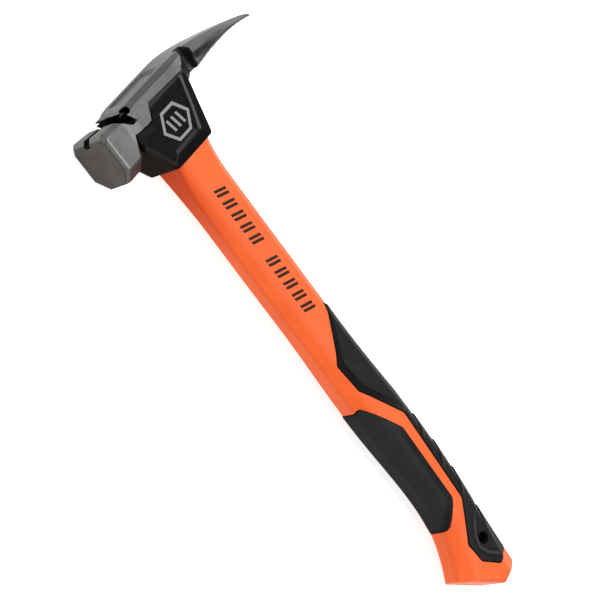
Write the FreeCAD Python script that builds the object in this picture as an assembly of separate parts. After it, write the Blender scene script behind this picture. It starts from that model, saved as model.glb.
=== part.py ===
"""Straight-claw framing hammer, just under 15 inches long, with an 18 ounce forged head.

Layout frame, in millimetres: x runs down the handle and is 0 at the top edge of the striking
face, y runs from the striking face (negative) to the claw (positive), and z = 0 is the
mid-plane of the tool.  Every piece is built there.  The last step moves them all together,
so that the hammer lies on its side with the origin at the bottom centre of its box.
"""
import FreeCAD, Part
import os
from math import acos, sin, tan

V = FreeCAD.Vector

# ---- driving dimensions ----------------------------------------------------------------
OVERALL_LENGTH = 375.5      # crown of the head to the heel of the butt
CROWN_X = -4.1              # flat top of the head
FACE_SIZE = 29.0            # octagonal striking face, across the flats
FACE_Y = -59.6              # plane of the striking face
TIP_Y = 84.6                # end of the claw
POLL_HALF = 16.1            # half-width of the poll, just behind the face bevel
CHEEK_HALF = 14.7           # half-width of the cheeks
CLAW_TIP_HALF = 9.6         # half-width of the claw near its tip
CLAW_ROOT_Y = 20.0          # the claw starts to narrow here
POLL_BOTTOM_X = 29.8
BOSS_BOTTOM_X = 30.0        # underside of the eye boss
BOSS_HALF = 11.6            # half-width of the steel inside the collar
NECK_HALF = 10.4            # half-width of the neck between poll and boss

CORE_DEPTH = 21.0           # fibreglass core, front to rear of the handle
CORE_WIDTH = 11.0           # fibreglass core, side to side
CORE_CENTRE_Y = -11.5
EYE_TOP_X = 5.0             # blind end of the eye
EPOXY_GAP = 1.2             # epoxy all round the core inside the eye

COLLAR_BOTTOM_X = 44.0      # underside of the collar
COLLAR_HALF = 15.1
PAD_PROUD = 0.7             # rubber above the hard jacket
PAD_SUNK = 2.2              # depth of the jacket's pockets under the rubber
HOLE_RADIUS = 3.8           # tether hole
HOLE_LINING = 1.2           # rubber that lines the tether hole
HOLE_X = 339.8
HOLE_Y = -15.0
MAGNET_RADIUS = 2.0
MAGNET_LENGTH = 4.0
GROOVE_FLOOR_X = 0.9        # floor of the nail-starter groove

HEEL_X = OVERALL_LENGTH + CROWN_X
BEVEL_Y = FACE_Y + 2.6      # the bevel round the striking face ends here
FAR = 60.0                  # how far cutting tools reach past the piece they cut


# ---- helpers ---------------------------------------------------------------------------
def rounded_wire(corners, place):
    """Closed wire through (u, v, radius) corners; place(u, v) gives the point in space."""
    count = len(corners)
    starts, mids, ends = [], [], []
    for i, (u, v, radius) in enumerate(corners):
        corner = V(u, v, 0)
        to_last = V(corners[i - 1][0], corners[i - 1][1], 0) - corner
        to_next = V(corners[(i + 1) % count][0], corners[(i + 1) % count][1], 0) - corner
        to_last.normalize()
        to_next.normalize()
        half_angle = acos(to_last.dot(to_next)) / 2
        reach = radius / tan(half_angle)
        inward = (to_last + to_next).normalize()
        starts.append(corner + to_last * reach)
        mids.append(corner + inward * (radius / sin(half_angle) - radius))
        ends.append(corner + to_next * reach)
    edges = []
    for i in range(count):
        start, mid, end = [place(p.x, p.y) for p in (starts[i], mids[i], ends[i])]
        after = starts[(i + 1) % count]
        if corners[i][2] > 0:
            edges.append(Part.Arc(start, mid, end).toShape())
        if (after - ends[i]).Length > 1e-6:
            edges.append(Part.makeLine(end, place(after.x, after.y)))
    return Part.Wire(edges)


def side_prism(corners, z0, z1):
    """Solid whose outline is given in the side view, as (x, y, radius), from z0 to z1."""
    wire = rounded_wire(corners, lambda x, y: V(x, y, z0))
    return Part.Face(wire).extrude(V(0, 0, z1 - z0))


def plan_prism(corners, x0, x1):
    """Solid whose outline is given looking down the handle, as (y, z, radius)."""
    wire = rounded_wire(corners, lambda y, z: V(x0, y, z))
    return Part.Face(wire).extrude(V(x1 - x0, 0, 0))


def mirrored(corners):
    """Corners with z above 0, followed by their mirror images, as one closed outline."""
    return corners + [(u, -v, radius) for u, v, radius in reversed(corners)]


def sharp(points):
    return [(u, v, 0) for u, v in points]


def largest(shape):
    return max(shape.Solids, key=lambda solid: solid.Volume)


def between(stations, at):
    """Value at a position, along straight lines between (position, value) stations."""
    for (p0, v0), (p1, v1) in zip(stations, stations[1:]):
        if at <= p1:
            return v0 + (v1 - v0) * (at - p0) / (p1 - p0)
    return stations[-1][1]


# ---- hammer head -----------------------------------------------------------------------
CLAW_TOP = [(CROWN_X, 10), (-3.8, 22), (-2.2, 34), (1.4, 49), (5.9, 64.5), (10.9, 79),
            (13.6, TIP_Y)]                                              # x, y
CLAW_UNDER = [(15.2, TIP_Y - 0.4), (12.8, 74), (11.2, 60), (11.4, 45), (12.4, 28), (13.4, 17)]
POLL_TOP = [(FACE_Y, 0), (BEVEL_Y, -2.8), (-42, -1.4), (-34.5, -3.2), (-24, CROWN_X),
            (12, CROWN_X)]                                              # y, x
HALF_WIDTH = [(FACE_Y, FACE_SIZE / 2), (BEVEL_Y, POLL_HALF), (-42, CHEEK_HALF),
              (CLAW_ROOT_Y, CHEEK_HALF), (TIP_Y - 4, CLAW_TIP_HALF), (TIP_Y + 2, CLAW_TIP_HALF - 3)]


def spline(points):
    """Smooth curve through (x, y) points that leaves along its first and last chords."""
    through = [V(x, y, 0) for x, y in points]
    curve = Part.BSplineCurve()
    curve.interpolate(Points=through, InitialTangent=through[1] - through[0],
                      FinalTangent=through[-1] - through[-2])
    return curve


def head_profile():
    """Side view of the head: poll, flat top, curved claw, and the eye boss underneath."""
    front = [CLAW_UNDER[-1], (15, 14), (BOSS_BOTTOM_X, 7), (BOSS_BOTTOM_X, -30), (24, -37),
             (24, -39.5), (27.4, -43.2), (POLL_BOTTOM_X, -47), (POLL_BOTTOM_X, BEVEL_Y),
             (FACE_SIZE, FACE_Y)]
    front += [(x, y) for y, x in POLL_TOP[:-1]] + [CLAW_TOP[0]]
    loop = [spline(CLAW_TOP).toShape(), spline(CLAW_UNDER).toShape()]
    for line in [[CLAW_TOP[-1], CLAW_UNDER[0]]] + [front[i:i + 2] for i in range(len(front) - 1)]:
        loop.append(Part.makeLine(*[V(x, y, 0) for x, y in line]))
    return Part.Face(Part.Wire(Part.sortEdges(loop)[0]))


def bevel_tool(stations, side, drop, ruled):
    """Bar of triangular section that takes the corner off one long edge of the head.

    Stations are (y, x of the edge, half-width, leg of the chamfer); drop is +1 for a top
    edge, where the metal lies towards +x, and -1 for a lower edge.
    """
    past = 1.4
    sections = []
    for y, x, half, leg in stations:
        on_face = V(x - drop * (past - 1) * leg, y, side * (half - past * leg))
        on_side = V(x + drop * past * leg, y, side * (half + (past - 1) * leg))
        outside = V(x - drop * FAR / 6, y, side * (half + FAR / 6))
        sections.append(Part.makePolygon([on_face, on_side, outside, on_face]))
    return Part.makeLoft(sections, True, ruled)


def top_bevels(side):
    leg = 3.3
    straight = [(y, between(POLL_TOP, y), between(HALF_WIDTH, y), leg)
                for y in (FACE_Y - 2, FACE_Y, BEVEL_Y, -42, -34.5, -24, 8, 12)]
    curve = spline(CLAW_TOP)
    span = curve.LastParameter - curve.FirstParameter
    curved = []
    for i in range(9):
        point = curve.value(curve.FirstParameter + span * i / 8)
        fade = 1 - 0.75 * i / 8
        curved.append((point.y, point.x, between(HALF_WIDTH, point.y), leg * fade))
    return bevel_tool(straight, side, 1, True), bevel_tool(curved, side, 1, False)


def under_bevel(side):
    """Bevel along the lower edge of each flank of the claw."""
    legs = [(0, 4.0), (TIP_Y * 0.55, 3.4), (TIP_Y * 0.8, 1.6), (TIP_Y, 0.4)]
    stations = [(y, x, between(HALF_WIDTH, y), between(legs, y)) for x, y in CLAW_UNDER]
    x, y = CLAW_UNDER[-1]
    return bevel_tool(stations + [(y - 4, x + 0.4, CHEEK_HALF, 4.0)], side, -1, True)


def nail_starter():
    """Groove along the poll for the nail's shank, and a leaning slot across for its head."""
    half = 2.5
    centre_x = GROOVE_FLOOR_X - half
    start_y, length = FACE_Y - 1, 22
    groove = Part.makeBox(12, length, 2 * half, V(centre_x - 12, start_y, -half))
    round_floor = Part.makeCylinder(half, length, V(centre_x, start_y, 0), V(0, 1, 0))
    slot = side_prism([(-12, -55.4, 0), (6.4, -35.9, 1.6), (6.4, -31.8, 1.6), (-12, -42.5, 0)],
                      -FAR, FAR)
    return groove.fuse(round_floor).fuse(slot)


def slot_pocket(side):
    """Round hollow where each end of the slot meets the chamfered top edge."""
    return Part.makeCylinder(2.9, 12, V(1.4, -33.4, side * 9.2), V(-1, 0, side))


def claw_slot():
    """The V between the tines, wider on the underside so that its edges bite a nail."""
    upper = plan_prism(mirrored([(47, 0.9, 0.8), (TIP_Y + 6, 4.1, 0)]), -FAR, FAR)
    lower = plan_prism(mirrored([(45.5, 2.0, 1.8), (TIP_Y + 6, 5.4, 0)]), -FAR, FAR)
    below = [(8.4, 40), (8.4, 60), (14.8, TIP_Y + 6), (FAR, TIP_Y + 6), (FAR, 40)]
    return upper.fuse(lower.common(side_prism(sharp(below), -FAR, FAR)))


def side_notch():
    """Side nail puller: a notch through the root of the claw, open on one side only.

    It is wider underneath, because the wall on the poll's side leans towards the poll.
    """
    plan = plan_prism([(13.6, 22, 0), (14.8, 13.6, 2.0), (24.6, 6.6, 1.5), (27.4, 7.6, 1.5),
                       (28.6, 22, 0)], -FAR, FAR)
    lean = [(-12, 26.8), (4.6, 16.1), (14.5, 13.4), (FAR, 13.4), (FAR, 40), (-12, 40)]
    return plan.common(side_prism(sharp(lean), 0, FAR))


def top_pocket():
    """Shallow forged recess in the flat top of the head."""
    return plan_prism(mirrored([(-26.5, 8.2, 2.5), (7.0, 8.2, 2.5)]), CROWN_X - 5, CROWN_X + 1.4)


def claw_flute(side):
    """Long hollow down each flank of the claw, running out towards the tip."""
    radius = 7.0
    start = V(8.0, 15.0, side * (CHEEK_HALF + radius - 2.0))
    end = V(9.0, 68.0, side * (10.9 + radius))
    return Part.makeCylinder(radius, (end - start).Length, start, end - start)


def collar_outline():
    """Side view of the collar: cheek panels above, and a sleeve round the handle below."""
    return [(4.4, -18.4, 0.8), (5.6, 15.0, 0.8), (11.6, 15.6, 1.0), (21.4, 13.0, 1.0),
            (COLLAR_BOTTOM_X, 6.4, 2.0), (COLLAR_BOTTOM_X, -28.6, 2.0), (16.4, -40.4, 1.0),
            (12.3, -38.8, 1.0), (13.2, -23.8, 0.8)]


def eye_boss():
    """The steel that stays inside the collar, between its two cheek panels."""
    outline = [(-10, -38), (-10, 18), (8, 12.5), (18, 9.0), (BOSS_BOTTOM_X, 4.0),
               (BOSS_BOTTOM_X, -27.5), (24, -35.6), (14, -38.2)]
    return side_prism(sharp(outline), -BOSS_HALF, BOSS_HALF)


def behind_poll():
    """Relief behind the poll, on both sides of the narrow neck that joins it to the boss."""
    outline = [(11.4, -38.0), (12.4, -39.2), (23.0, -45.2), (32, -43), (32, -34)]
    neck = Part.makeBox(FAR, FAR, 2 * NECK_HALF, V(0, -FAR, -NECK_HALF))
    return side_prism(sharp(outline), -FAR, FAR).cut(neck)


def flat_oval(depth, width, x0, x1):
    """Bar along x with two flat sides and round front and rear edges."""
    corner = width / 2
    return plan_prism(mirrored([(CORE_CENTRE_Y - depth / 2, width / 2, corner),
                                (CORE_CENTRE_Y + depth / 2, width / 2, corner)]), x0, x1)


def eye():
    return flat_oval(CORE_DEPTH + 2 * EPOXY_GAP, CORE_WIDTH + 2 * EPOXY_GAP, EYE_TOP_X, BOSS_BOTTOM_X)


def nail_magnet():
    """Round magnet, flush in the floor of the nail groove in front of the slot."""
    return Part.makeCylinder(MAGNET_RADIUS, MAGNET_LENGTH, V(GROOVE_FLOOR_X, -47.5, 0), V(1, 0, 0))


def poll_under_bevel(side):
    """Broad chamfer along each lower edge of the poll, which makes the face an octagon."""
    leg = 7.6
    stations = [(FACE_Y - 2, FACE_SIZE - 0.6, FACE_SIZE / 2 - 0.5, leg),
                (FACE_Y, FACE_SIZE, FACE_SIZE / 2, leg),
                (BEVEL_Y, POLL_BOTTOM_X, POLL_HALF, leg),
                (-39, POLL_BOTTOM_X, CHEEK_HALF, leg)]
    return bevel_tool(stations, side, -1, True)


def hammer_head():
    """Forged head: the profile cut to its plan outline, then bevelled, pocketed and slotted."""
    body = head_profile().extrude(V(0, 0, 2 * FAR))
    body.translate(V(0, 0, -FAR))
    body = body.common(plan_prism(mirrored([(y, half, 0) for y, half in HALF_WIDTH]), -FAR, FAR))
    for side in (-1, 1):
        for tool in (*top_bevels(side), poll_under_bevel(side), claw_flute(side),
                     under_bevel(side), slot_pocket(side)):
            body = body.cut(tool)
    around_boss = side_prism(collar_outline(), -FAR, FAR).cut(eye_boss())
    for tool in (around_boss, behind_poll(), eye(), nail_starter(), nail_magnet(), claw_slot(),
                 side_notch(), top_pocket()):
        body = body.cut(tool)
    return largest(body.removeSplitter())


# ---- handle ----------------------------------------------------------------------------
# x, front y, half-width of the front flat, half-thickness, rear y, half-width of the rear flat
STATIONS = [
    (28.0, -26.0, 9.6, 12.6, 7.6, 8.0),
    (44.0, -26.0, 9.2, 12.8, 6.4, 7.6),
    (54.0, -26.6, 7.2, 11.9, 5.1, 6.4),
    (66.0, -27.1, 5.6, 10.8, 4.4, 5.6),
    (90.0, -27.4, 4.5, 10.2, 4.1, 5.4),
    (120.0, -27.9, 4.5, 10.2, 3.7, 5.4),
    (155.0, -28.1, 4.6, 10.3, 3.2, 5.4),
    (195.0, -28.9, 5.2, 11.4, 2.5, 5.6),
    (225.0, -29.8, 5.5, 12.2, 3.2, 6.0),
    (250.0, -29.5, 5.5, 12.4, 4.3, 6.0),
    (295.0, -28.2, 5.5, 12.3, 4.0, 6.0),
    (318.0, -31.3, 5.5, 12.3, 2.2, 6.0),
    (335.0, -38.1, 5.5, 12.4, 0.6, 6.0),
    (349.0, -47.1, 5.5, 12.6, -0.6, 6.0),
    (390.0, -71.0, 5.5, 12.6, -2.6, 6.0),
]


BUTT_CORNERS = [(346.2, -46.0), (HEEL_X + 0.25, -21.0), (368.3, 0.6)]   # toe, heel and back


TOE_START_X = 310.0         # from here on the front edges are rounder


def handle_body(offset, x_limit):
    """The handle's outer surface, grown by an offset, through rounded octagonal sections."""
    sections = []
    for x, front, front_flat, half, rear, rear_flat in STATIONS:
        front, rear, half = front - offset, rear + offset, half + offset
        depth = rear - front
        nose = 2.6 if x < TOE_START_X else 4.6
        corners = [(front, front_flat, nose), (front + 0.27 * depth, half, 12.0),
                   (rear - 0.22 * depth, half, 5.0), (rear, rear_flat, 3.0)]
        wire = rounded_wire(mirrored(corners), lambda y, z, at=x: V(at, y, z))
        sections.append(wire)
    body = Part.makeLoft(sections, True, False)
    toe, heel, back = BUTT_CORNERS
    trim = [(x_limit, -FAR, 0), (x_limit, FAR, 0), (back[0], FAR, 0), (*back, 2.0), (*heel, 3.0),
            (*toe, 3.0), (toe[0] - 12, toe[1] + 7.0, 0), (toe[0] - 24, -FAR, 0)]
    body = body.common(side_prism(trim, -FAR, FAR))
    for start, end in ((toe, heel), (heel, back)):
        body = body.common(rounded_end(start, end))
    return largest(body)


def rounded_end(start, end):
    """Bar with two rounded edges, lying along one straight stretch of the butt's outline."""
    edge_radius = 4.5
    half = 13.6
    reach = 2 * OVERALL_LENGTH
    along = V(end[0] - start[0], end[1] - start[1], 0).normalize()
    outward = V(along.y, -along.x, 0)
    corner = V(start[0], start[1], 0) - along * reach
    section = rounded_wire([(0, -half, edge_radius), (0, half, edge_radius), (-reach, half, 0),
                            (-reach, -half, 0)], lambda out, z: corner + outward * out + V(0, 0, z))
    return Part.Face(section).extrude(along * 2 * reach)


def front_pad_outline():
    """Side view of the front grip pad's border; it wraps round the front of the handle."""
    return [(226.4, -FAR, 0), (226.4, -31.0, 2), (224.0, -27.2, 2), (252.6, -12.6, 5),
            (307.0, -14.8, 4), (320.6, -28.6, 3), (316.2, -38.0, 2), (315.6, -FAR, 0)]


def rear_pad_outline():
    """Side view of the rear grip pad's border; it wraps round the back of the handle."""
    return [(164.0, FAR, 0), (164.0, 0.0, 2), (196.0, -22.4, 4), (216.5, -21.6, 4),
            (247.4, -5.6, 4), (312.0, -9.6, 6), (334.6, -27.2, 4), (348.6, -26.6, 4),
            (359.8, -16.4, 2), (358.8, -7.0, 2), (364.5, FAR, 0)]


def tether_hole(radius):
    return Part.makeCylinder(radius, 2 * FAR, V(HOLE_X, HOLE_Y, -FAR))


def fibreglass_core():
    return flat_oval(CORE_DEPTH, CORE_WIDTH, EYE_TOP_X + 3, 322)


def eye_epoxy():
    return largest(eye().cut(fibreglass_core()))


def spigot():
    """The top of the jacket, stepped down to plug into the collar."""
    return plan_prism(mirrored([(-25.5, 8.6, 3.0), (4.5, 8.6, 3.0)]), BOSS_BOTTOM_X, COLLAR_BOTTOM_X)


def handle_parts():
    """Orange jacket with the two rubber pads let into it; the rear one also lines the hole."""
    inner = handle_body(-PAD_SUNK, COLLAR_BOTTOM_X)
    outer = handle_body(PAD_PROUD, COLLAR_BOTTOM_X)
    skin = outer.cut(inner)
    front = largest(skin.common(side_prism(front_pad_outline(), -FAR, FAR)))
    rear = skin.common(side_prism(rear_pad_outline(), -FAR, FAR))
    lining = tether_hole(HOLE_RADIUS + HOLE_LINING)
    rear = largest(rear.fuse(inner.common(lining)).cut(tether_hole(HOLE_RADIUS)))
    jacket = handle_body(0, COLLAR_BOTTOM_X).cut(lining).cut(front).cut(rear)
    jacket = largest(jacket).fuse(spigot()).cut(fibreglass_core())
    return largest(jacket.removeSplitter()), front, rear


def beyond(a, b, c):
    """Tool that removes all of the collar outside the plane through three points of a facet."""
    normal = (b - a).cross(c - a)
    if normal.dot(a - V(COLLAR_BOTTOM_X / 2, CORE_CENTRE_Y, 0)) < 0:
        normal = normal * -1
    return Part.makeCylinder(4 * FAR, FAR, a, normal)


def overstrike_collar():
    """Black collar: sleeve round the top of the handle, with a cheek panel up each side."""
    body = side_prism(collar_outline(), -COLLAR_HALF, COLLAR_HALF)
    for side in (-1, 1):
        top = side * COLLAR_HALF
        rear_facet = beyond(V(9.2, 9.4, top), V(35.6, 0, top), V(COLLAR_BOTTOM_X, 6.4, side * 12.9))
        lower_facet = beyond(V(36.1, -22.9, top), V(36.2, 0, top), V(COLLAR_BOTTOM_X, 0, side * 13.4))
        front_facet = beyond(V(21.3, -38.2, top), V(40.7, -28.9, top),
                             V(COLLAR_BOTTOM_X, -28.6, side * 10.6))
        upper_facet = beyond(V(7.0, -18, top), V(8.0, 15, top), V(4.6, -18, side * 14.2))
        ear_facet = beyond(V(17.7, -39.1, top), V(18.2, -27.3, top), V(12.6, -32, side * 14.1))
        ear = side_prism(sharp([(0, -FAR), (0, -25.5), (FAR, -25.5), (FAR, -FAR)]), -FAR, FAR)
        for tool in (rear_facet, lower_facet, front_facet, upper_facet, ear_facet.common(ear)):
            body = body.cut(tool)
    for tool in (eye_boss(), spigot(), fibreglass_core()):
        body = body.cut(tool)
    return largest(body)


def place(shape, low):
    """Lay a finished piece in the part's own frame, with the lowest point at z = 0."""
    moved = shape.copy()
    moved.translate(V(-(CROWN_X + HEEL_X) / 2, -(FACE_Y + TIP_Y) / 2, low))
    return moved


os.makedirs("parts", exist_ok=True)
jacket, front_pad, rear_pad = handle_parts()
pieces = {
    "hammer_head": hammer_head(),
    "nail_magnet": nail_magnet(),
    "fibreglass_core": fibreglass_core(),
    "eye_epoxy": eye_epoxy(),
    "overstrike_collar": overstrike_collar(),
    "handle_jacket": jacket,
    "front_grip_pad": front_pad,
    "rear_grip_pad": rear_pad,
}
for name, shape in pieces.items():
    print(name, shape.isValid(), round(shape.Volume / 1000, 2), "cm3", shape.optimalBoundingBox())
    place(shape, POLL_HALF).exportStep("parts/" + name + ".step")
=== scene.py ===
"""Looks for the straight-claw hammer: forged head, moulded collar, jacket and rubber grip pads.

Sizes below are in millimetres in the hammer's layout frame: x down the handle from the top edge
of the striking face, y from the face (negative) to the claw, z from the mid-plane.  at() turns
them into the part's own frame, in metres.
"""

import bmesh
import bpy
import numpy as np
from mathutils import Matrix, Vector
from mathutils.bvhtree import BVHTree


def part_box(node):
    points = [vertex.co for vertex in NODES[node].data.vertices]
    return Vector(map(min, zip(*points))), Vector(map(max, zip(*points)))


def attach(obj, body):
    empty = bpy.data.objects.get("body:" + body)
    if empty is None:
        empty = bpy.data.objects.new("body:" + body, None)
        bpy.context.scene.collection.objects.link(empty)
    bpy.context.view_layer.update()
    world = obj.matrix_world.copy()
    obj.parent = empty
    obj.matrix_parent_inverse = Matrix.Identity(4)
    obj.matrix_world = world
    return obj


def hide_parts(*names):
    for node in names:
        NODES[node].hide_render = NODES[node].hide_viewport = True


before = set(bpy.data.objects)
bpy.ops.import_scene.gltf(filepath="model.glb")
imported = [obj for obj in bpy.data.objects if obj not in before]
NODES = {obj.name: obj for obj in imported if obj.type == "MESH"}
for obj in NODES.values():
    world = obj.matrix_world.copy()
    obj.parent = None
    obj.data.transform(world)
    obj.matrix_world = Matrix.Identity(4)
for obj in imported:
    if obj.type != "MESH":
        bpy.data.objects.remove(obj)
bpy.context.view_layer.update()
MM = 0.001
# point attribute that carries painted shade and painted highlight on the mouldings
SHADE_AND_HIGHLIGHT = "shade_and_highlight"

HEAD_LOW, HEAD_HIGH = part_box("hammer_head")
CROWN_X, FACE_Y = -4.1, -59.6
MIDDLE_Z = (HEAD_LOW.z + HEAD_HIGH.z) / 2
ORIGIN = Vector((HEAD_LOW.x - CROWN_X * MM, HEAD_LOW.y - FACE_Y * MM, MIDDLE_Z))
FAR = 60.0  # well clear of the handle on every side


def at(x, y, z):
    return ORIGIN + Vector((x, y, z)) * MM


# ---- meshes ----------------------------------------------------------------------------
def layout_points(mesh):
    points = np.empty(len(mesh.vertices) * 3)
    mesh.vertices.foreach_get("co", points)
    return (points.reshape(-1, 3) - np.array(ORIGIN)) / MM


def layout_normals(mesh):
    normals = np.empty(len(mesh.vertices) * 3)
    mesh.vertex_normals.foreach_get("vector", normals)
    return normals.reshape(-1, 3)


def set_layout_points(mesh, points):
    mesh.vertices.foreach_set("co", (points * MM + np.array(ORIGIN)).ravel())
    mesh.update()


def new_piece(name, mesh, material, replaced=None):
    piece = bpy.data.objects.new(name, mesh)
    bpy.context.scene.collection.objects.link(piece)
    mesh.materials.clear()
    mesh.materials.append(material)
    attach(piece, "root")
    if replaced:
        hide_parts(replaced)
    return piece


def moulded(node, name, voxel, smoothing):
    """Even quad mesh of a CAD solid, with its sharp edges slightly rounded as a real one's are."""
    mesh = NODES[node].data.copy()
    mesh.name = name
    sketch = bpy.data.objects.new(name + "_sketch", mesh)
    bpy.context.scene.collection.objects.link(sketch)
    bm = bmesh.new()
    bm.from_mesh(mesh)
    bmesh.ops.remove_doubles(bm, verts=bm.verts, dist=1e-6)
    bm.to_mesh(mesh)
    bm.free()
    remesh = sketch.modifiers.new("remesh", "REMESH")
    remesh.mode = "VOXEL"
    remesh.voxel_size = voxel * MM
    smooth = sketch.modifiers.new("smooth", "SMOOTH")
    smooth.factor = 0.5
    smooth.iterations = smoothing
    evaluated = sketch.evaluated_get(bpy.context.evaluated_depsgraph_get())
    result = bpy.data.meshes.new_from_object(evaluated)
    result.name = name
    bpy.data.objects.remove(sketch)
    bpy.data.meshes.remove(mesh)
    result.polygons.foreach_set("use_smooth", [True] * len(result.polygons))
    result.update()
    return result


def store_shade_and_highlight(mesh, values):
    layer = mesh.attributes.new(SHADE_AND_HIGHLIGHT, "FLOAT", "POINT")
    layer.data.foreach_set("value", values.astype(np.float32))


# ---- materials -------------------------------------------------------------------------
class Finish:
    """A Principled material with a few helpers for its procedural detail, all in layout mm."""

    def __init__(self, name, metallic, roughness, specular=0.5, coat=0.0, coat_roughness=0.1):
        self.material = bpy.data.materials.new(name)
        self.material.use_nodes = True
        self.nodes = self.material.node_tree.nodes
        self.links = self.material.node_tree.links
        self.shader = self.nodes["Principled BSDF"]
        self.shader.inputs["Metallic"].default_value = metallic
        self.shader.inputs["Roughness"].default_value = roughness
        self.shader.inputs["Specular IOR Level"].default_value = specular
        self.shader.inputs["Coat Weight"].default_value = coat
        self.shader.inputs["Coat Roughness"].default_value = coat_roughness
        coordinates = self.nodes.new("ShaderNodeTexCoord")
        mapping = self.nodes.new("ShaderNodeMapping")
        mapping.inputs["Scale"].default_value = (1 / MM,) * 3
        mapping.inputs["Location"].default_value = tuple(-ORIGIN / MM)
        self.links.new(coordinates.outputs["Object"], mapping.inputs["Vector"])
        self.place = mapping.outputs["Vector"]
        split = self.nodes.new("ShaderNodeSeparateXYZ")
        self.links.new(self.place, split.inputs[0])
        self.x, self.y, self.z = split.outputs

    def put(self, value, socket):
        if isinstance(value, bpy.types.NodeSocket):
            self.links.new(value, socket)
        else:
            socket.default_value = value

    def math(self, operation, first, second=0.0):
        node = self.nodes.new("ShaderNodeMath")
        node.operation = operation
        self.put(first, node.inputs[0])
        self.put(second, node.inputs[1])
        return node.outputs[0]

    def from_middle(self):
        return self.math("ABSOLUTE", self.z)

    def noise(self, per_mm, detail, stretch=(1, 1, 1)):
        squash = self.nodes.new("ShaderNodeMapping")
        squash.inputs["Scale"].default_value = stretch
        self.links.new(self.place, squash.inputs["Vector"])
        node = self.nodes.new("ShaderNodeTexNoise")
        node.inputs["Scale"].default_value = per_mm
        node.inputs["Detail"].default_value = detail
        self.links.new(squash.outputs["Vector"], node.inputs["Vector"])
        return node.outputs["Fac"]

    def cells(self, per_mm):
        node = self.nodes.new("ShaderNodeTexVoronoi")
        node.feature = "SMOOTH_F1"
        node.inputs["Scale"].default_value = per_mm
        self.links.new(self.place, node.inputs["Vector"])
        return node.outputs["Distance"]

    def shade_and_highlight(self):
        """Painted shade (towards 0) and painted highlight (towards 1) stored on the moulding's points; 0.5
        is neither.
        """
        node = self.nodes.new("ShaderNodeAttribute")
        node.attribute_name = SHADE_AND_HIGHLIGHT
        return node.outputs["Fac"]

    def span(self, value, low, high, out_low=0.0, out_high=1.0):
        node = self.nodes.new("ShaderNodeMapRange")
        node.clamp = True
        self.put(value, node.inputs["Value"])
        node.inputs["From Min"].default_value = low
        node.inputs["From Max"].default_value = high
        node.inputs["To Min"].default_value = out_low
        node.inputs["To Max"].default_value = out_high
        return node.outputs["Result"]

    def below(self, value, full, gone):
        """1 up to full, falling to 0 at gone."""
        return self.span(value, full, gone, 1.0, 0.0)

    def within(self, value, start, full, fading, gone):
        """Rises from 0 at start to 1 at full, and falls from fading back to 0 at gone."""
        return self.both(self.span(value, start, full), self.below(value, fading, gone))

    def both(self, *masks):
        result = masks[0]
        for mask in masks[1:]:
            result = self.math("MULTIPLY", result, mask)
        return result

    def either(self, *masks):
        result = masks[0]
        for mask in masks[1:]:
            result = self.math("MAXIMUM", result, mask)
        return result

    def blend(self, factor, first, second):
        node = self.nodes.new("ShaderNodeMix")
        node.data_type = "RGBA"
        self.put(factor, node.inputs["Factor"])
        for value, socket in ((first, node.inputs["A"]), (second, node.inputs["B"])):
            self.put(value if isinstance(value, bpy.types.NodeSocket) else (*value, 1.0), socket)
        return node.outputs["Result"]

    def colour(self, value):
        self.links.new(value, self.shader.inputs["Base Color"])

    def roughness(self, value):
        self.links.new(value, self.shader.inputs["Roughness"])

    def specular(self, value):
        self.links.new(value, self.shader.inputs["Specular IOR Level"])

    def bump(self, *layers):
        """Layers are (height, depth in mm); they are stacked one on the other."""
        normal = None
        for height, depth in layers:
            node = self.nodes.new("ShaderNodeBump")
            node.inputs["Strength"].default_value = 1.0
            node.inputs["Distance"].default_value = depth * MM
            self.links.new(height, node.inputs["Height"])
            if normal:
                self.links.new(normal, node.inputs["Normal"])
            normal = node.outputs["Normal"]
        self.links.new(normal, self.shader.inputs["Normal"])


# Brighter steel: painted light on the crown and the claw's top, and the poll's brighter sides.
BRIGHT_STEEL = (0.20, 0.198, 0.193)
CROWN_END_Y = 12.0       # where the crown's flat starts to curve down into the claw
CLAW_CURVE = 0.00405     # fall of the claw's top face, in mm for each square mm past that
SLOT_LEAN, SLOT_Y = 0.82, -39.1      # the slot's middle line is y = SLOT_LEAN * x + SLOT_Y
LOBE_X, LOBE_Y, LOBE_Z = 1.4, -33.4, 9.2      # where the axis of each slot lobe starts
DIAGONAL = 0.7071


def crown_light_and_shade(f, tone):
    """Painted light makes the crown brighter than the cheeks, most of all in its recess, and painted shade
    darkens the recess walls.
    """
    half_z = f.from_middle()
    behind_slot = f.within(f.y, -33.0, -31.0, 2.0, 8.0)
    flat = f.both(behind_slot, f.below(half_z, 11.0, 11.6), f.below(f.x, -2.7, -2.2))
    tone = f.blend(f.both(flat, f.span(half_z, 7.8, 8.2, 0.45, 0.2)), tone, BRIGHT_STEEL)
    walls = f.both(behind_slot, f.within(half_z, 7.9, 8.1, 8.4, 8.6), f.within(f.x, -3.8, -3.5, -2.6, -2.3))
    return f.blend(walls, tone, (0.028, 0.028, 0.027))


def neck_shade(f, tone):
    """Painted shade in the recess behind the poll, beside the narrow neck."""
    neck = f.both(f.within(f.from_middle(), 9.7, 10.0, 10.9, 11.4), f.span(f.x, 11.0, 12.0),
                  f.within(f.y, -46.5, -45.5, -37.0, -36.0))
    return f.blend(neck, tone, (0.012, 0.009, 0.007))


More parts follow.
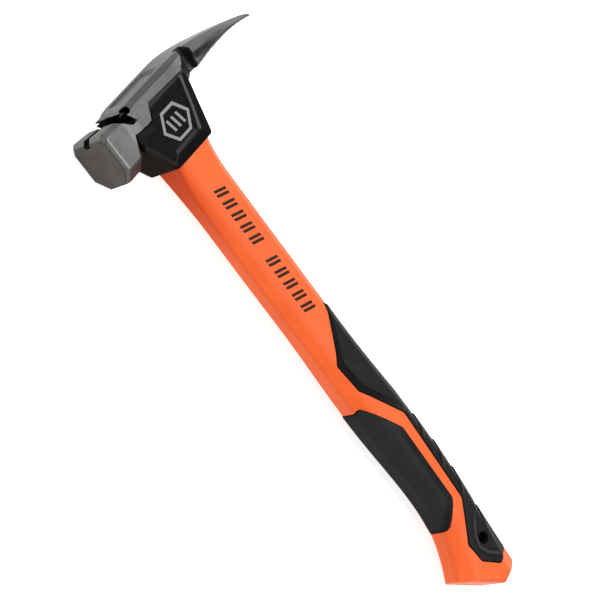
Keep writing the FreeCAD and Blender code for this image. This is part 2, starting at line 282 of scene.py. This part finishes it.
def claw_top_highlight(f, tone):
    """Painted highlight on the claw's top face and its bevels, stronger towards the tip."""
    past_crown = f.math("ADD", f.y, -CROWN_END_Y)
    fall = f.math("MULTIPLY", f.math("MULTIPLY", past_crown, past_crown), CLAW_CURVE)
    depth = f.math("SUBTRACT", f.x, f.math("ADD", fall, CROWN_X))
    face = f.both(f.below(depth, 0.4, 1.0), f.span(f.y, 8.0, 42.0, 0.0, 0.92))
    bevels = f.both(f.below(depth, 2.0, 2.8), f.span(f.y, 10.0, 36.0, 0.0, 0.4))
    return f.blend(f.either(face, bevels), tone, BRIGHT_STEEL)


def brighter_poll_duller_cheeks(f, tone):
    """The poll's sides are a little brighter than the rest, and the cheeks duller."""
    on_side = f.span(f.from_middle(), 13.9, 14.5)
    tone = f.blend(f.both(on_side, f.span(f.y, -40.0, -36.0, 0.14, 0.0)), tone, BRIGHT_STEEL)
    cheek = f.both(on_side, f.span(f.y, -35.0, -31.0), f.span(f.y, 10.0, 16.0, 0.45, 0.0))
    return f.blend(cheek, tone, (0.050, 0.050, 0.048))


def flute_shade(f, tone, streaks):
    """Painted shade in the hollow down each flank of the claw, fading towards the tip and the lower edge."""
    below_rib = f.math("SUBTRACT", f.x, f.math("ADD", f.math("MULTIPLY", f.y, 0.18), -1.7))
    hollow = f.both(f.span(below_rib, -0.8, 0.8), f.span(below_rib, 3.6, 5.0, 1.0, 0.5),
                    f.span(f.y, 28.5, 30.0), f.span(f.y, 42.0, 51.0, 1.0, 0.55),
                    f.span(streaks, 0.3, 0.6, 1.0, 0.8))
    return f.blend(hollow, tone, (0.013, 0.013, 0.0125))


def nail_slot(f):
    """Mask of the slot across the crown, the round lobes at its ends and the nail groove."""
    middle = f.math("ADD", f.math("MULTIPLY", f.x, SLOT_LEAN), SLOT_Y)
    off_slot = f.math("ABSOLUTE", f.math("SUBTRACT", f.y, middle))
    narrowing = f.math("ADD", off_slot, f.math("MULTIPLY", f.x, 0.24))
    slot = f.both(f.below(narrowing, 3.7, 4.0), f.below(f.x, 6.6, 6.9))
    outward = f.math("ADD", f.from_middle(), -LOBE_Z)
    off_axis = f.math("MULTIPLY", f.math("ADD", f.math("ADD", f.x, -LOBE_X), outward), DIAGONAL)
    off_y = f.math("ADD", f.y, -LOBE_Y)
    off_lobe = f.math("ADD", f.math("MULTIPLY", off_y, off_y), f.math("MULTIPLY", off_axis, off_axis))
    lobes = f.both(f.below(off_lobe, 9.2, 10.4), f.span(outward, -1.5, -1.0))
    groove = f.both(f.below(f.from_middle(), 2.5, 2.7), f.below(f.y, -36.5, -36.0), f.below(f.x, 1.5, 1.8))
    return f.either(slot, lobes, groove)


def side_puller(f):
    """Mask of the notch at the root of the claw, where shade is painted; its wall by the poll leans, and the
    top outer corner of its mouth on the claw side is left unpainted.
    """
    leaning = f.math("ADD", f.y, f.math("MULTIPLY", f.x, 0.645))
    notch = f.both(f.within(f.y, 14.9, 15.3, 28.7, 29.0), f.span(f.z, 6.0, 6.4), f.span(leaning, 19.6, 20.0))
    past_mouth = f.either(f.span(f.x, -1.6, -0.4), f.below(f.y, 24.6, 25.6), f.below(f.z, 8.8, 9.6))
    return f.both(notch, f.span(f.x, 6.5, 11.0, 1.0, 0.8), past_mouth)


def steel_finish():
    f = Finish("forged_steel", metallic=0.92, roughness=0.4, coat=0.05, coat_roughness=0.25)
    f.shader.inputs["Specular Tint"].default_value = (0.55, 0.55, 0.55, 1.0)
    mottle = f.noise(0.12, 4.0)
    streaks = f.noise(1.1, 3.0, stretch=(1.0, 0.08, 1.0))
    grain = f.noise(6.0, 2.0)
    tone = f.blend(f.span(mottle, 0.35, 0.65), (0.088, 0.087, 0.085), (0.118, 0.117, 0.114))
    tone = f.blend(f.span(streaks, 0.35, 0.7, 0.0, 0.35), tone, (0.16, 0.157, 0.15))
    # painted shade: the striking face is darker and browner than the rest of the head
    face_shade = f.both(f.below(f.y, FACE_Y + 0.4, FACE_Y + 0.9), f.span(mottle, 0.2, 0.6, 0.75, 1.0))
    tone = f.blend(face_shade, tone, (0.054, 0.047, 0.042))
    for retone in (crown_light_and_shade, neck_shade, claw_top_highlight, brighter_poll_duller_cheeks):
        tone = retone(f, tone)
    tone = flute_shade(f, tone, streaks)
    slot = nail_slot(f)
    notch = side_puller(f)
    # painted shade: the slot, its lobes and the nail groove are near black
    tone = f.blend(slot, tone, (0.004, 0.004, 0.004))
    # painted shade: the side puller's notch is dark grey
    f.colour(f.blend(f.math("MULTIPLY", notch, 0.85), tone, (0.009, 0.009, 0.0085)))
    uneven = f.span(f.noise(0.35, 4.0), 0.3, 0.7, 0.36, 0.5)
    f.roughness(f.math("MAXIMUM", uneven, f.math("MULTIPLY", f.either(slot, notch), 0.75)))
    f.bump((streaks, 0.012), (grain, 0.008))
    return f.material


def magnet_finish():
    f = Finish("plated_magnet", metallic=1.0, roughness=0.3)
    rings = f.noise(3.0, 2.0, stretch=(0.2, 1.0, 1.0))
    f.colour(f.blend(rings, (0.05, 0.05, 0.05), (0.14, 0.14, 0.14)))
    f.bump((rings, 0.01))
    return f.material


def fibreglass_finish():
    f = Finish("fibreglass", metallic=0.0, roughness=0.45)
    strands = f.noise(2.2, 4.0, stretch=(0.04, 1.0, 1.0))
    f.colour(f.blend(f.span(strands, 0.3, 0.7), (0.50, 0.45, 0.30), (0.72, 0.68, 0.52)))
    f.bump((strands, 0.05))
    return f.material


def epoxy_finish():
    f = Finish("cast_epoxy", metallic=0.0, roughness=0.25)
    clouds = f.noise(0.5, 4.0)
    f.colour(f.blend(f.span(clouds, 0.3, 0.7), (0.05, 0.04, 0.025), (0.09, 0.07, 0.045)))
    f.bump((clouds, 0.03))
    return f.material


def collar_finish():
    f = Finish("collar_plastic", metallic=0.0, roughness=0.4, specular=0.07)
    f.shader.inputs["IOR"].default_value = 1.3
    texture = f.noise(5.0, 3.0)
    scuffs = f.noise(0.25, 5.0)
    tone = f.blend(f.span(scuffs, 0.35, 0.7), (0.0030, 0.0030, 0.0030), (0.0055, 0.0055, 0.0053))
    # painted shade: the facet at the front underneath is tinted brown and its specular lowered
    front_facet = f.math("SUBTRACT", f.y, f.math("MULTIPLY", f.x, 0.479))
    tone = f.blend(f.below(front_facet, -48.7, -48.2), tone, (0.0075, 0.0042, 0.0024))
    f.specular(f.span(front_facet, -48.7, -48.2, 0.02, 0.07))
    # painted shade where the moulding is sunk, painted highlight where it stands proud
    shade_and_highlight = f.shade_and_highlight()
    tone = f.blend(f.span(shade_and_highlight, 0.0, 0.5, 0.85, 0.0), tone, (0.0012, 0.0013, 0.0014))
    f.colour(f.blend(f.span(shade_and_highlight, 0.5, 1.0, 0.0, 1.0), tone, (0.062, 0.062, 0.061)))
    f.roughness(f.span(scuffs, 0.3, 0.7, 0.38, 0.52))
    f.bump((texture, 0.02))
    return f.material


def jacket_finish():
    f = Finish("jacket_plastic", metallic=0.0, roughness=0.5, specular=0.18)
    clouds = f.noise(0.05, 3.0)
    grain = f.noise(4.0, 3.0)
    flow = f.noise(0.5, 3.0, stretch=(0.1, 1.0, 1.0))
    tone = f.blend(f.span(clouds, 0.3, 0.7), (0.65, 0.089, 0.0150), (0.70, 0.102, 0.0190))
    tone = f.blend(f.span(flow, 0.4, 0.75, 0.0, 0.12), tone, (0.70, 0.128, 0.027))
    # painted shade: the front of the handle just below the collar is darker red, with less specular
    throat_shade = f.both(f.below(f.x, 42.0, 112.0), f.below(f.y, -27.0, -21.5))
    f.colour(f.blend(throat_shade, tone, (0.43, 0.033, 0.004)))
    f.specular(f.span(throat_shade, 0.0, 1.0, 0.18, 0.04))
    f.roughness(f.span(flow, 0.3, 0.7, 0.46, 0.54))
    f.bump((grain, 0.012), (flow, 0.02))
    return f.material


def rubber_finish():
    f = Finish("grip_rubber", metallic=0.0, roughness=0.62, specular=0.08)
    pebbles = f.cells(1.5)
    dust = f.noise(0.12, 5.0)
    tone = f.blend(f.span(dust, 0.3, 0.7), (0.0068, 0.0068, 0.0068), (0.0105, 0.0105, 0.0102))
    tone = f.blend(f.span(pebbles, 0.1, 0.7, 0.25, 0.0), tone, (0.022, 0.022, 0.022))
    # painted shade where the moulding is sunk, painted highlight where it stands proud
    shade_and_highlight = f.shade_and_highlight()
    tone = f.blend(f.span(shade_and_highlight, 0.0, 0.5, 0.9, 0.0), tone, (0.0010, 0.0011, 0.0011))
    f.colour(f.blend(f.span(shade_and_highlight, 0.5, 1.0, 0.0, 0.9), tone, (0.036, 0.036, 0.0355)))
    f.roughness(f.span(pebbles, 0.0, 0.8, 0.55, 0.72))
    f.bump((f.below(pebbles, 0.0, 0.8), 0.06))
    return f.material


def ink_finish(name, low, high):
    f = Finish(name, metallic=0.0, roughness=0.5, specular=0.1)
    speckle = f.noise(3.0, 4.0)
    f.colour(f.blend(f.span(speckle, 0.35, 0.65), low, high))
    f.bump((speckle, 0.01))
    return f.material


# ---- head, and the pieces that keep their CAD meshes -----------------------------------
new_piece("hammer_head_forging",
          moulded("hammer_head", "hammer_head_forging", voxel=0.35, smoothing=6),
          steel_finish(), "hammer_head")

for node, material in (("nail_magnet", magnet_finish()), ("fibreglass_core", fibreglass_finish()),
                       ("eye_epoxy", epoxy_finish()), ("handle_jacket", jacket_finish())):
    for slot in NODES[node].material_slots:
        slot.material = material


# ---- collar and rubber pads ------------------------------------------------------------
# Side views of the pads' edges and of the lines moulded in the pads and the collar.
FRONT_PAD = [(226.4, -FAR), (226.4, -31.0), (224.0, -27.2), (252.6, -12.6), (307.0, -14.8),
             (320.6, -28.6), (316.2, -38.0), (315.6, -FAR)]
REAR_PAD = [(164.0, FAR), (164.0, 0.0), (196.0, -22.4), (216.5, -21.6), (247.4, -5.6), (312.0, -9.6),
            (334.6, -27.2), (348.6, -26.6), (359.8, -16.4), (358.8, -7.0), (364.5, FAR)]
PANEL_EDGE = [(166.0, 3.0), (168.6, -2.6), (182.4, -11.4), (196.6, -20.0), (215.4, -19.4), (240.2, -7.0)]
TEARDROP = [(322.0, -6.4), (328.0, -12.4), (334.5, -18.8), (341.5, -21.4), (348.2, -18.6), (354.2, -13.2)]
SCALES = [235.6, 255.4, 276.1, 296.6, 323.0]  # start of each scale at SCALE_TOP_Y, and the last one's end
SCALE_LEAN, SCALE_TOP_Y = 1.1, 5.4
COLLAR_REAR = [(7.6, 10.4), (24.1, 4.5), (35.4, -0.5)]
COLLAR_BASE = [(35.4, -0.5), (36.1, -22.9)]
COLLAR_FRONT = [(36.1, -22.9), (40.7, -28.9), (21.3, -38.2)]
COLLAR_EAR = [(15.0, -36.8), (16.0, -26.8)]
# The handle's middle line in the side view, and about half its depth and half its thickness.
MIDDLE_LINE = [(20, -11.0), (160, -11.0), (250, -10.5), (300, -12.0), (372, -20.0)]
HALF_DEPTH, HALF_THICKNESS = 16.0, 13.0


def distance_to(line, x, y):
    """Distance of every point from a line of straight pieces, in the side view."""
    best = np.full(len(x), np.inf)
    for (ax, ay), (bx, by) in zip(line, line[1:]):
        dx, dy = bx - ax, by - ay
        along = np.clip(((x - ax) * dx + (y - ay) * dy) / (dx * dx + dy * dy), 0, 1)
        best = np.minimum(best, np.hypot(x - ax - along * dx, y - ay - along * dy))
    return best


def ramp(value, low, high):
    part = np.clip((value - low) / (high - low), 0, 1)
    return part * part * (3 - 2 * part)


def line_mark(line, x, y, half_width, soft=0.5):
    """1 on a line in the side view, falling to 0 beyond its half width."""
    return 1 - ramp(distance_to(line, x, y), half_width - soft, half_width + soft)


def carve(mesh, depth_and_shade):
    """Sink or raise the outer skin of a moulding, in mm, and store its painted shade and highlight for its
    finish.
    """
    points = layout_points(mesh)
    normals = layout_normals(mesh)
    x, y, z = points.T
    middle = np.interp(x, *zip(*MIDDLE_LINE))
    outward = normals[:, 1] * (y - middle) / HALF_DEPTH + normals[:, 2] * z / HALF_THICKNESS
    skin = ramp(outward, 0.15, 0.45)
    depth, shade_and_highlight = depth_and_shade(x, y, z)
    set_layout_points(mesh, points - normals * (skin * depth)[:, None])
    store_shade_and_highlight(mesh, 0.5 + (np.clip(shade_and_highlight, 0, 1) - 0.5) * skin)
    return mesh


def pad_border(outline, x, y):
    """1 on the shallow groove round the edge of a pad, 0 away from the edge."""
    return 1 - ramp(distance_to(outline, x, y), 0.1, 1.1)


def front_relief_and_shade(x, y, z):
    """A sunk step along the rear edge with painted shade on it, painted shade in the border groove, and
    painted light making the flat sides a little paler than the round front.
    """
    border = pad_border(FRONT_PAD, x, y)
    rear_edge = distance_to(FRONT_PAD[3:6], x, y)
    band = ramp(rear_edge, 0.9, 1.7) * (1 - ramp(rear_edge, 2.6, 6.0)) * ramp(x, 246.0, 262.0)
    depth = np.maximum(0.5 * border, 0.35 * band)
    flat = 0.12 * ramp(np.abs(z), 3.0, 6.0) * (1 - border)
    return depth, 0.5 + flat - 0.5 * border - 0.34 * band


def back_scales(x, y):
    """Overlapping scales across the back: how far along each, the crest at its start, and where they are."""
    leaned = x - SCALE_LEAN * (SCALE_TOP_Y - y)
    along = np.zeros(len(x))
    crest = np.zeros(len(x))
    for start, end in zip(SCALES, SCALES[1:]):
        past = leaned - start
        length = end - start
        here = (past > 0) & (past < length)
        along = np.where(here, past / length, along)
        crest = np.where(here, 1 - ramp(past, 0.6, 3.2), crest)
    ribbed = ramp(x, SCALES[0], SCALES[0] + 4) * (1 - ramp(leaned, SCALES[-1], SCALES[-1] + 1.5))
    ribbed *= ramp(distance_to(REAR_PAD[4:8], x, y), 1.2, 2.6) * ramp(y, -12.0, -6.0)
    return along, crest, ribbed


def rear_relief_and_shade(x, y, z):
    """Panel groove and rim, scales across the back, and a curved ridge beside the tether hole; painted shade
    in the border and panel grooves, towards each scale's end and in the ridge's lee, painted highlight on
    the rim, each scale's start and the ridge.
    """
    border = pad_border(REAR_PAD, x, y)
    groove = line_mark(PANEL_EDGE, x, y, 1.8, 0.6) * (1 - 0.5 * ramp(x, 226.0, 240.0))
    rim = line_mark(REAR_PAD[1:5], x, y, 2.4) * (1 - border)
    along, crest, ribbed = back_scales(x, y)
    by_hole = ramp(x, 322.0, 328.0)
    ridge = line_mark(TEARDROP, x, y, 1.0) * by_hole
    lee = line_mark(TEARDROP, x, y, 2.9, 0.8) * by_hole * (1 - ridge)
    depth = 0.5 * border + 0.8 * groove + 0.75 * along * ribbed + 0.35 * by_hole * (1 - ridge)
    shade_and_highlight = 0.5 - 0.5 * border - 0.5 * groove + 0.12 * rim * (1 - groove)
    shade_and_highlight += ribbed * (0.45 * crest - 0.42 * ramp(along, 0.55, 1.0)) + 0.4 * ridge - 0.22 * lee
    return np.minimum(depth, 1.0), shade_and_highlight


def collar_relief_and_shade(x, y, z):
    """Rims along the rear and base edges of each cheek panel stand proud and a line inside the rear one is
    sunk; painted highlight goes on the rims, the front and ear lines and the top, and painted shade on the
    sunk line and on the bevel at the lower end.
    """
    rear = line_mark(COLLAR_REAR, x, y, 1.1)
    base = line_mark(COLLAR_BASE, x, y, 1.2, 1.0)
    front = line_mark(COLLAR_FRONT, x, y, 0.6, 0.4)
    ear = line_mark(COLLAR_EAR, x, y, 1.1, 0.8)
    top = 1 - ramp(x, 6.6, 7.4)
    inner = line_mark([(px, py - 2.2) for px, py in COLLAR_REAR], x, y, 1.0, 0.8)
    bevel = ramp(x, 37.5, 39.5) * ramp(y, -26.0, -22.0)
    on_cheek = ramp(np.abs(z), 11.0, 12.5)
    depth = -0.3 * rear - 0.15 * base + 0.15 * inner
    highlight = 0.5 * rear + 0.2 * base + 0.1 * front + 0.04 * ear + 0.2 * top
    return depth * on_cheek, 0.5 + (highlight - 0.2 * inner - 0.3 * bevel) * on_cheek


def carved_piece(node, depth_and_shade, material, voxel, smoothing):
    name = node + "_moulding"
    mesh = carve(moulded(node, name, voxel, smoothing), depth_and_shade)
    return new_piece(name, mesh, material, node)


rubber = rubber_finish()
collar = carved_piece("overstrike_collar", collar_relief_and_shade, collar_finish(),
                      voxel=0.35, smoothing=4)
carved_piece("front_grip_pad", front_relief_and_shade, rubber, voxel=0.45, smoothing=3)
carved_piece("rear_grip_pad", rear_relief_and_shade, rubber, voxel=0.45, smoothing=3)


# ---- printed marks ---------------------------------------------------------------------
INK_PROUD, INK_SUNK = 0.05, 0.1
STROKE_WIDTH, STROKE_HEIGHT, STROKE_SLANT = 1.9, 9.0, 1.5
STROKE_GROUPS = (70.0, 121.0)
STROKE_PAIRS = 5
STROKE_STEP, STROKE_PAIR = 8.6, 3.1
STROKE_Y, STROKE_DRIFT = -12.4, 0.004
RING_CENTRE = np.array((23.6, -11.2))
RING = [(-10.2, -6.0), (-10.2, 6.0), (0.0, 12.6), (9.4, 6.0), (9.4, -6.0), (0.0, -12.6)]
RING_INSIDE = 0.82  # inner edge of the ring, as a share of the outer one
BAR = [(-4.0, -1.9), (4.0, -0.1), (4.0, 1.7), (-4.0, -0.1)]
BAR_X, BAR_STEP = -0.4, 4.4


def film_points(tree, side, corners, along, across):
    """Grid of points just above a surface, then the same grid just below it, in the part's frame."""
    a, b, c, d = (np.array(corner, float) for corner in corners)
    points = []
    for lift in (INK_PROUD, -INK_SUNK):
        for u in np.arange(along + 1) / along:
            for v in np.arange(across + 1) / across:
                x, y = (a * (1 - u) + b * u) * (1 - v) + (d * (1 - u) + c * u) * v
                hit = tree.ray_cast(at(x, y, side * FAR), Vector((0, 0, -side)))[0]
                points.append(hit + Vector((0, 0, side * lift * MM)))
    return points


def film_faces(start, along, across):
    """Faces that close the two grids of a film whose first point has the number start."""
    row = across + 1
    count = (along + 1) * row
    faces = []
    for i in range(along):
        for j in range(across):
            k = start + i * row + j
            faces.append((k, k + row, k + row + 1, k + 1))
            faces.append((k + count, k + count + 1, k + count + row + 1, k + count + row))
    rim = [start + i * row for i in range(along + 1)]
    rim += [start + along * row + j for j in range(1, row)]
    rim += [start + i * row + across for i in range(along - 1, -1, -1)]
    rim += [start + j for j in range(across - 1, 0, -1)]
    for k, n in zip(rim, rim[1:] + rim[:1]):
        faces.append((k, k + count, n + count, n))
    return faces


def print_on(name, surface, side, patches, material):
    """Thin closed film of ink on one side of a surface.

    A patch is its four corners in the side view, and the number of cells along and across it.
    """
    tree = BVHTree.FromPolygons([v.co for v in surface.vertices], [p.vertices for p in surface.polygons])
    points, faces = [], []
    for corners, along, across in patches:
        faces += film_faces(len(points), along, across)
        points += film_points(tree, side, corners, along, across)
    mesh = bpy.data.meshes.new(name)
    mesh.from_pydata([tuple(point) for point in points], [], faces)
    bm = bmesh.new()
    bm.from_mesh(mesh)
    bmesh.ops.recalc_face_normals(bm, faces=bm.faces)
    bm.to_mesh(mesh)
    bm.free()
    return new_piece(name, mesh, material)


def stroke(x, y):
    """One slanted stroke, centred on y, that runs across the handle."""
    front, rear = y - STROKE_HEIGHT / 2, y + STROKE_HEIGHT / 2
    start, end = x - STROKE_SLANT, x + STROKE_SLANT
    corners = [(start, front), (start + STROKE_WIDTH, front), (end + STROKE_WIDTH, rear), (end, rear)]
    return corners, 2, 8


def jacket_marks():
    """Two groups of double strokes along the flat side of the handle."""
    patches = []
    for group in STROKE_GROUPS:
        for i in range(STROKE_PAIRS):
            x = group + STROKE_STEP * i
            y = STROKE_Y - STROKE_DRIFT * (x - STROKE_GROUPS[0])
            patches.append(stroke(x, y))
            patches.append(stroke(x + STROKE_PAIR, y))
    return patches


def collar_marks():
    """A hexagon ring with three slanted bars in it."""
    outer = [np.array(corner) for corner in RING]
    patches = []
    for a, b in zip(outer, outer[1:] + outer[:1]):
        corners = (a, b, b * RING_INSIDE, a * RING_INSIDE)
        patches.append(([RING_CENTRE + corner for corner in corners], 8, 2))
    for step in (-BAR_STEP, 0.0, BAR_STEP):
        x, y = RING_CENTRE + np.array((BAR_X, step))
        patches.append(([(x + dx, y + dy) for dx, dy in BAR], 6, 2))
    return patches


def print_marks():
    dark_ink = ink_finish("dark_print", (0.016, 0.006, 0.003), (0.026, 0.011, 0.006))
    pale_ink = ink_finish("pale_print", (0.17, 0.17, 0.165), (0.22, 0.22, 0.215))
    jacket = NODES["handle_jacket"].data
    for side, word in ((1, "near"), (-1, "far")):
        print_on("jacket_print_" + word, jacket, side, jacket_marks(), dark_ink)
        print_on("collar_print_" + word, collar.data, side, collar_marks(), pale_ink)


print_marks()


# ---- floor, light and camera -----------------------------------------------------------
LAMP_DISTANCE = 1.8  # in metres


def pale_floor():
    """White paper, lit a little from below."""
    mesh = bpy.data.meshes.new("floor")
    half = 6.0
    corners = [(-half, -half, 0), (half, -half, 0), (half, half, 0), (-half, half, 0)]
    mesh.from_pydata(corners, [], [(0, 1, 2, 3)])
    floor = bpy.data.objects.new("floor", mesh)
    bpy.context.scene.collection.objects.link(floor)
    f = Finish("floor_paper", metallic=0.0, roughness=0.9, specular=0.1)
    f.colour(f.blend(f.noise(0.01, 2.0), (0.73, 0.73, 0.73), (0.76, 0.76, 0.76)))
    f.shader.inputs["Emission Color"].default_value = (1.0, 1.0, 1.0, 1.0)
    f.shader.inputs["Emission Strength"].default_value = 0.78
    mesh.materials.append(f.material)


def area_light(name, direction, size, energy):
    light = bpy.data.lights.new(name, "AREA")
    light.shape = "DISK"
    light.size = size
    light.energy = energy
    lamp = bpy.data.objects.new(name, light)
    bpy.context.scene.collection.objects.link(lamp)
    towards = Vector(direction).normalized()
    lamp.location = towards * LAMP_DISTANCE
    lamp.rotation_euler = towards.to_track_quat("Z", "Y").to_euler()


def studio():
    world = bpy.data.worlds.new("studio")
    bpy.context.scene.world = world
    world.use_nodes = True
    background = world.node_tree.nodes["Background"]
    background.inputs["Color"].default_value = (1.0, 1.0, 1.0, 1.0)
    background.inputs["Strength"].default_value = 0.55
    area_light("key", (-0.55, 0.62, 0.75), size=1.3, energy=8.0)
    area_light("overhead", (0.06, 0.16, 1.0), size=1.8, energy=37.5)


def camera():
    """From above and in front of the striking face, with the handle running to the lower right."""
    right = Vector((0.56768, 0.50478, 0.65033))
    up = Vector((-0.74623, 0.64913, 0.14752))
    back = Vector((-0.34768, -0.56905, 0.74519))
    data = bpy.data.cameras.new("camera")
    data.sensor_width = 36.0
    data.lens = 151.98
    eye = bpy.data.objects.new("camera", data)
    bpy.context.scene.collection.objects.link(eye)
    eye.location = at(-309.69, -847.6, 1109.97)
    # Turned a little to the left and up, which sets where the hammer sits in the frame.
    aim = (-back - 0.02254 * right + 0.02359 * up).normalized()
    side = aim.cross(up).normalized()
    over = side.cross(aim).normalized()
    axes = (side, over, -aim)
    eye.rotation_euler = Matrix([[axis[row] for axis in axes] for row in range(3)]).to_euler()
    bpy.context.scene.camera = eye


pale_floor()
studio()
camera()
bpy.context.scene.view_settings.view_transform = "Standard"

bpy.context.view_layer.update()
